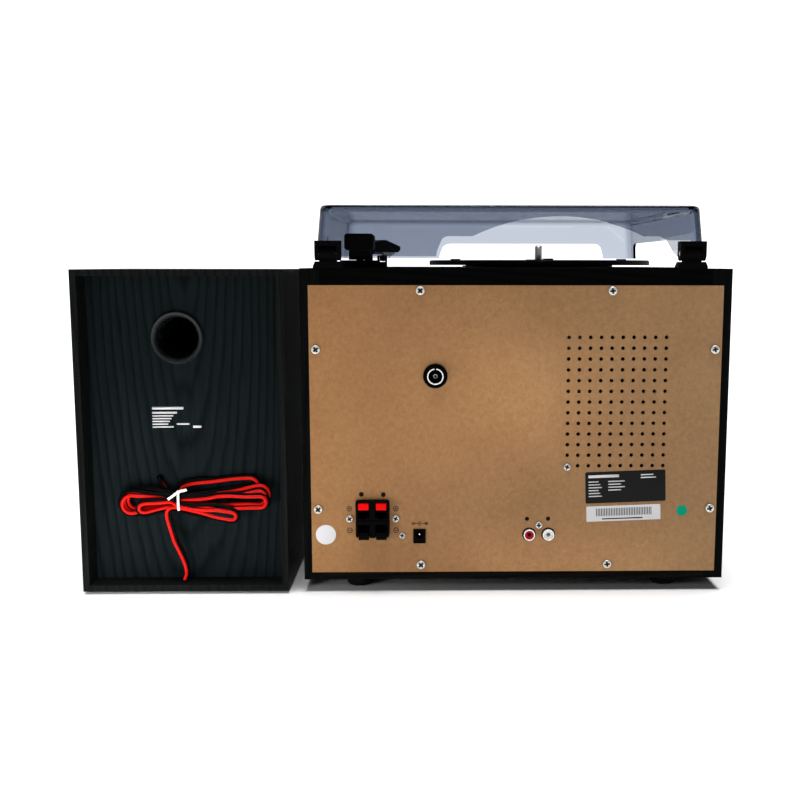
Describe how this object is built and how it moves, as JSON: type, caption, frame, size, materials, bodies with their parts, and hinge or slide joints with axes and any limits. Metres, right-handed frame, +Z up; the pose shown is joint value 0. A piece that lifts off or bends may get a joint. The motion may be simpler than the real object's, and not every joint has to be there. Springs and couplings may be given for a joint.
{
  "type": "stereo music centre",
  "caption": "Wooden stereo music centre with a record deck under a clear hinged cover, rear sockets, and one speaker with tied wire.",
  "frame": {"origin": "bottom centre of the bounding box, on the surface that the feet stand on", "axes": "+Z up, -Y towards the user at the front, +Y out of the back with the sockets, +X towards the speaker"},
  "size_m": [0.502, 0.3192, 0.3008],
  "materials": {
    "wood_black": "black wood-grain foil",
    "hardboard": "bare brown hardboard",
    "black_plastic": "moulded, satin",
    "red_plastic": "moulded, glossy",
    "white_plastic": "white plastic",
    "bright_metal": "nickel plated or bright steel",
    "aluminium": "satin",
    "brass": "turned",
    "rubber": "black rubber",
    "smoked_clear": "clear tinted acrylic",
    "dark_window": "dark clear plastic",
    "board_green": "circuit board",
    "cartridge_grey": "moulded",
    "grille_cloth": "black cloth on a frame",
    "wire_red": "red and black twin wire"
  },
  "bodies": {
    "cabinet": {"side_board_left": "wood_black", "side_board_right": "wood_black", "top_board": "wood_black", "bottom_board": "wood_black", "back_panel": "hardboard", "front_panel": "black_plastic", "speaker_terminal": "black_plastic", "antenna_socket": "black_plastic", "dc_socket": "black_plastic", "line_out_holder": "black_plastic", "turntable_deck": "black_plastic", "tonearm_base": "black_plastic", "arm_rest": "black_plastic", "hinge_bases": "black_plastic", "line_out_insert_red": "red_plastic", "line_out_insert_white": "white_plastic", "rear_screws": "bright_metal", "antenna_contacts": "bright_metal", "dc_pin": "bright_metal", "line_out_shells": "bright_metal", "spindle": "bright_metal", "motor": "bright_metal", "cd_mechanism": "bright_metal", "board_spacers": "bright_metal", "cabinet_feet": "rubber", "drive_belt": "rubber", "display_window": "dark_window", "circuit_boards": "board_green"},
    "cover": {"dust_cover": "smoked_clear", "cover_hinges": "black_plastic", "hinge_pins": "bright_metal"},
    "platter": {"platter": "aluminium", "platter_pads": "rubber"},
    "pulley": {"motor_pulley": "brass"},
    "arm_swivel": {"arm_swivel": "black_plastic"},
    "arm": {"tonearm": "black_plastic", "cartridge": "cartridge_grey"},
    "cue_lever": {"cue_lever": "black_plastic"},
    "speed_switch": {"speed_switch": "black_plastic"},
    "lever_red_inner": {"lever_red_inner": "red_plastic"},
    "lever_red_outer": {"lever_red_outer": "red_plastic"},
    "lever_black_inner": {"lever_black_inner": "black_plastic"},
    "lever_black_outer": {"lever_black_outer": "black_plastic"},
    "cd_drawer": {"cd_drawer": "black_plastic"},
    "volume_knob": {"volume_knob": "aluminium"},
    "tuning_knob": {"tuning_knob": "aluminium"},
    "button_power": {"button_power": "aluminium"},
    "button_source": {"button_source": "aluminium"},
    "button_play": {"button_play": "aluminium"},
    "speaker": {"speaker_cabinet": "wood_black", "speaker_back_board": "wood_black", "speaker_baffle": "wood_black", "speaker_grille": "grille_cloth", "woofer": "black_plastic", "tweeter": "black_plastic", "bass_port": "black_plastic", "speaker_pads": "rubber", "wire_hank": "wire_red", "wire_tail": "wire_red", "wire_tie": "white_plastic"}
  },
  "joints": [
    {"name": "cover_open", "type": "hinge", "parent": "cabinet", "child": "cover", "pos_m": [-0.0817, 0.15165, 0.2642], "axis": [-1, 0, 0], "range_deg": [0, 75]},
    {"name": "platter_spin", "type": "hinge", "parent": "cabinet", "child": "platter", "pos_m": [-0.1183, 0.00325, 0.253], "axis": [0, 0, -1], "continuous": true},
    {"name": "pulley_spin", "type": "hinge", "parent": "cabinet", "child": "pulley", "pos_m": [-0.0575, -0.05755, 0.253], "axis": [0, 0, -1], "continuous": true},
    {"name": "arm_swing", "type": "hinge", "parent": "cabinet", "child": "arm_swivel", "pos_m": [0.036, 0.10525, 0.26], "axis": [0, 0, -1], "range_deg": [0, 40]},
    {"name": "arm_lift", "type": "hinge", "parent": "arm_swivel", "child": "arm", "pos_m": [0.036, 0.10525, 0.2735], "axis": [-1, 0, 0], "range_deg": [0, 4]},
    {"name": "cue_raise", "type": "hinge", "parent": "cabinet", "child": "cue_lever", "pos_m": [0.019, 0.08725, 0.261], "axis": [-1, 0, 0], "range_deg": [0, 25]},
    {"name": "speed_slide", "type": "slide", "parent": "cabinet", "child": "speed_switch", "axis": [0, 1, 0], "range_m": [-0.006, 0.006]},
    {"name": "press_red_inner", "type": "hinge", "parent": "cabinet", "child": "lever_red_inner", "pos_m": [0.01815, 0.14925, 0.0683], "axis": [-1, 0, 0], "range_deg": [0, 18], "stiffness_Nm_per_rad": 0.05, "springref_deg": -11.46},
    {"name": "press_red_outer", "type": "hinge", "parent": "cabinet", "child": "lever_red_outer", "pos_m": [0.03185, 0.14925, 0.0683], "axis": [-1, 0, 0], "range_deg": [0, 18], "stiffness_Nm_per_rad": 0.05, "springref_deg": -11.46},
    {"name": "press_black_inner", "type": "hinge", "parent": "cabinet", "child": "lever_black_inner", "pos_m": [0.01815, 0.14925, 0.0467], "axis": [1, 0, 0], "range_deg": [0, 18], "stiffness_Nm_per_rad": 0.05, "springref_deg": -11.46},
    {"name": "press_black_outer", "type": "hinge", "parent": "cabinet", "child": "lever_black_outer", "pos_m": [0.03185, 0.14925, 0.0467], "axis": [1, 0, 0], "range_deg": [0, 18], "stiffness_Nm_per_rad": 0.05, "springref_deg": -11.46},
    {"name": "drawer_slide", "type": "slide", "parent": "cabinet", "child": "cd_drawer", "axis": [0, -1, 0], "range_m": [0, 0.13]},
    {"name": "volume_turn", "type": "hinge", "parent": "cabinet", "child": "volume_knob", "pos_m": [0.026, -0.14675, 0.105], "axis": [0, -1, 0], "range_deg": [-140, 140]},
    {"name": "tuning_turn", "type": "hinge", "parent": "cabinet", "child": "tuning_knob", "pos_m": [-0.198, -0.14675, 0.105], "axis": [0, -1, 0], "continuous": true},
    {"name": "press_power", "type": "slide", "parent": "cabinet", "child": "button_power", "axis": [0, 1, 0], "range_m": [0, 0.0015], "stiffness_N_per_m": 400, "springref_m": -0.001},
    {"name": "press_source", "type": "slide", "parent": "cabinet", "child": "button_source", "axis": [0, 1, 0], "range_m": [0, 0.0015], "stiffness_N_per_m": 400, "springref_m": -0.001},
    {"name": "press_play", "type": "slide", "parent": "cabinet", "child": "button_play", "axis": [0, 1, 0], "range_m": [0, 0.0015], "stiffness_N_per_m": 400, "springref_m": -0.001},
    {"name": "speaker_move", "type": "slide", "parent": "cabinet", "child": "speaker", "axis": [1, 0, 0], "range_m": [0, 0.3]}
  ],
  "couplings": [
    {"joint": "pulley_spin", "follows": "platter_spin", "ratio": 13.2}
  ]
}
